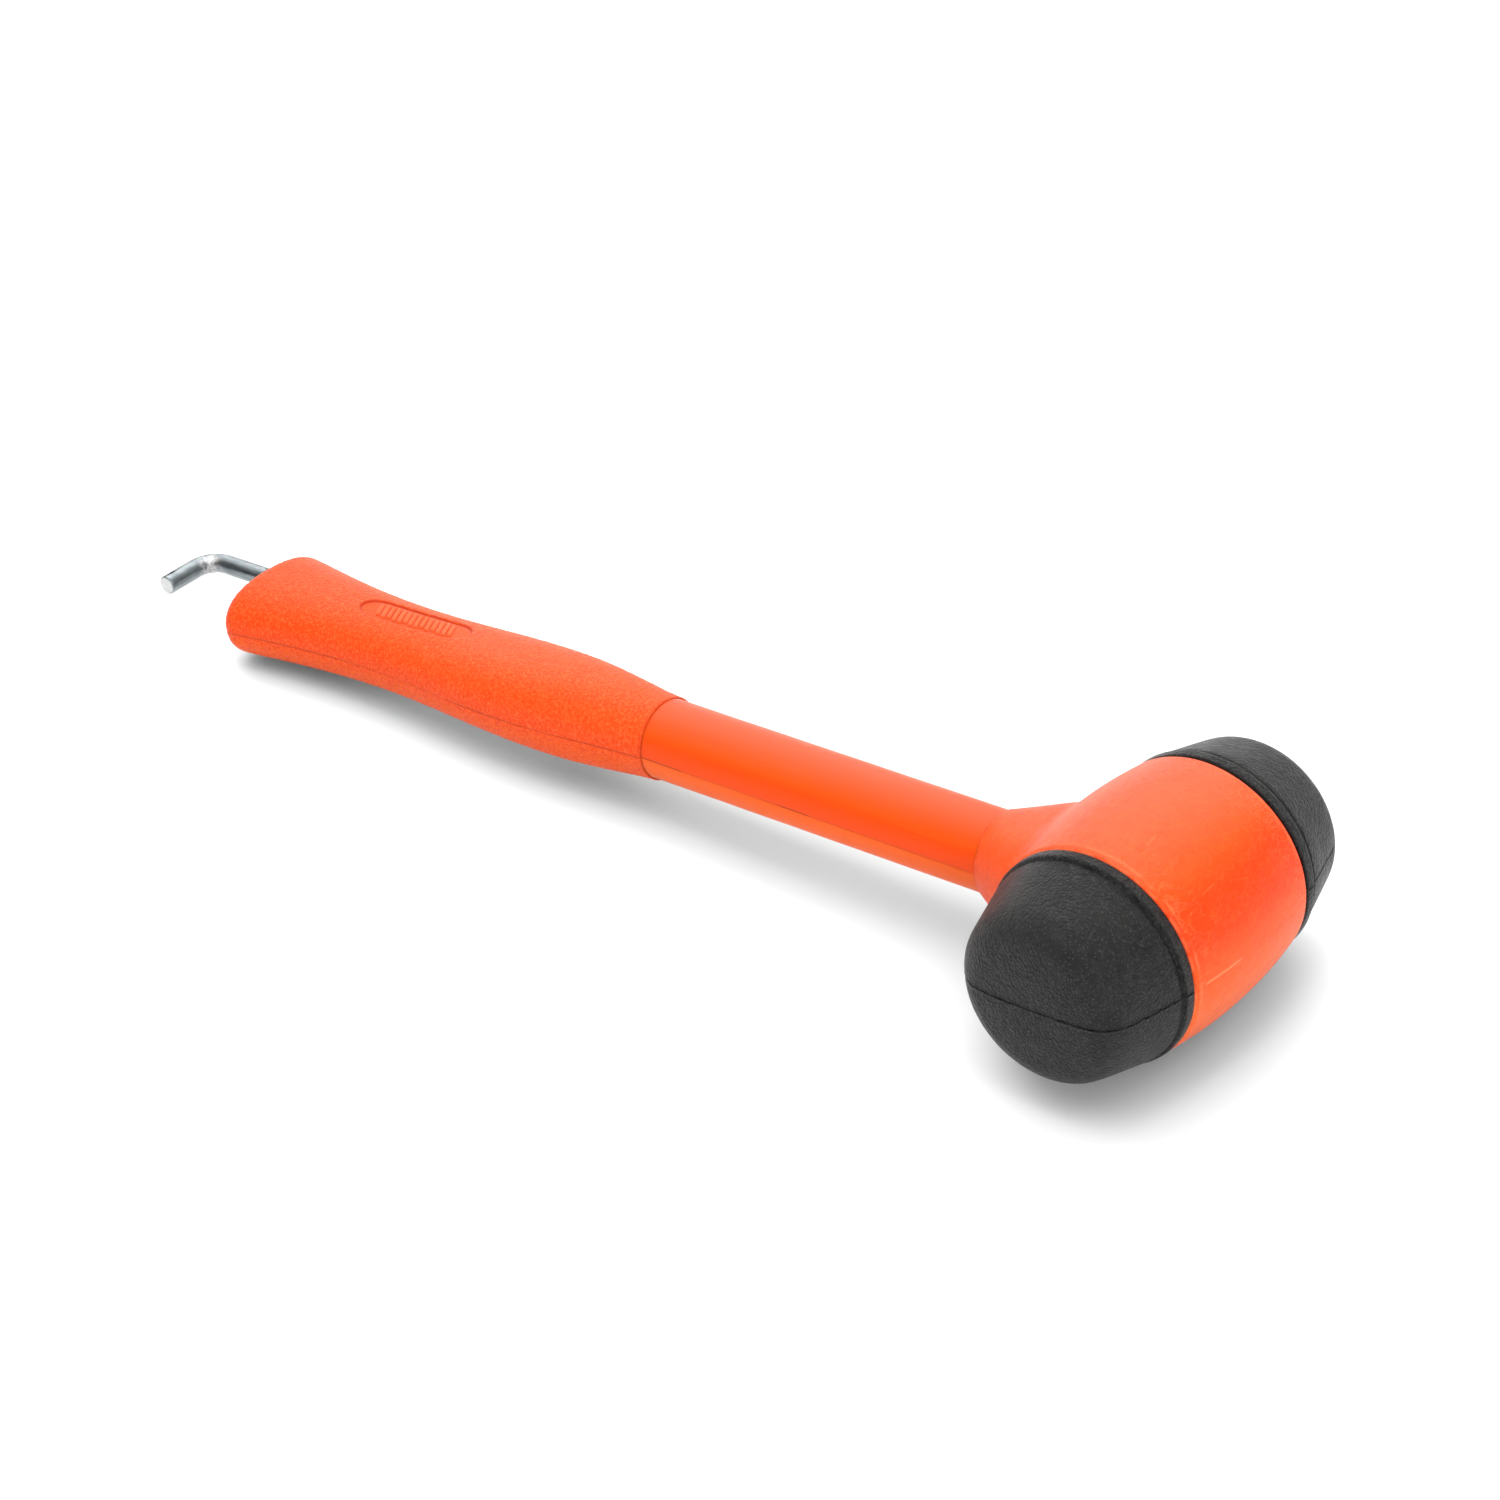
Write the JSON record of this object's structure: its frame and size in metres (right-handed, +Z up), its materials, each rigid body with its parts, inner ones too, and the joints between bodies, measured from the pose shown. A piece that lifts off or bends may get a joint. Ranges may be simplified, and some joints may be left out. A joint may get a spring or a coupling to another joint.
{
  "type": "dead blow mallet",
  "caption": "Rubber-faced dead blow mallet: a crowned plastic head with tapered rubber caps, a round shaft, a textured waisted grip and a bent steel peg hook in the butt.",
  "frame": {"origin": "bottom centre of the bounding box, the mallet lying on its barrel crown and the underside of its butt", "axes": "+X from the butt and hook towards the head, -Y out of the front striking face, +Z up"},
  "size_m": [0.3926, 0.107, 0.0645],
  "materials": {
    "orange_head": "moulded, semi-gloss with a fine leathery texture",
    "orange_shaft": "smooth, satin gloss",
    "orange_grip": "fine leather grain, soft satin",
    "black_rubber": "moulded, matte with fine speckle",
    "zinc_rod": "bright zinc plate with draw lines",
    "inner_steel": "plain drawn steel",
    "steel_shot": "oiled shot",
    "grey_nylon": "glass-filled nylon"
  },
  "bodies": {
    "mallet": {"head_shell": "orange_head", "front_striking_cap": "black_rubber", "rear_striking_cap": "black_rubber", "shaft_sleeve": "orange_shaft", "grip_sleeve": "orange_grip", "peg_hook": "zinc_rod", "canister_tube": "inner_steel", "front_canister_disc": "inner_steel", "rear_canister_disc": "inner_steel", "core_socket": "inner_steel", "core_cross_pin": "inner_steel", "handle_core_tube": "inner_steel", "core_end_plug": "grey_nylon", "butt_clamp_upper": "grey_nylon", "butt_clamp_lower": "grey_nylon", "butt_clamp_screws": "inner_steel"},
    "shot": {"shot_charge": "steel_shot"}
  },
  "joints": [
    {"name": "shot_slide", "type": "slide", "parent": "mallet", "child": "shot", "axis": [0, 1, 0], "range_m": [-0.005, 0.005]}
  ]
}
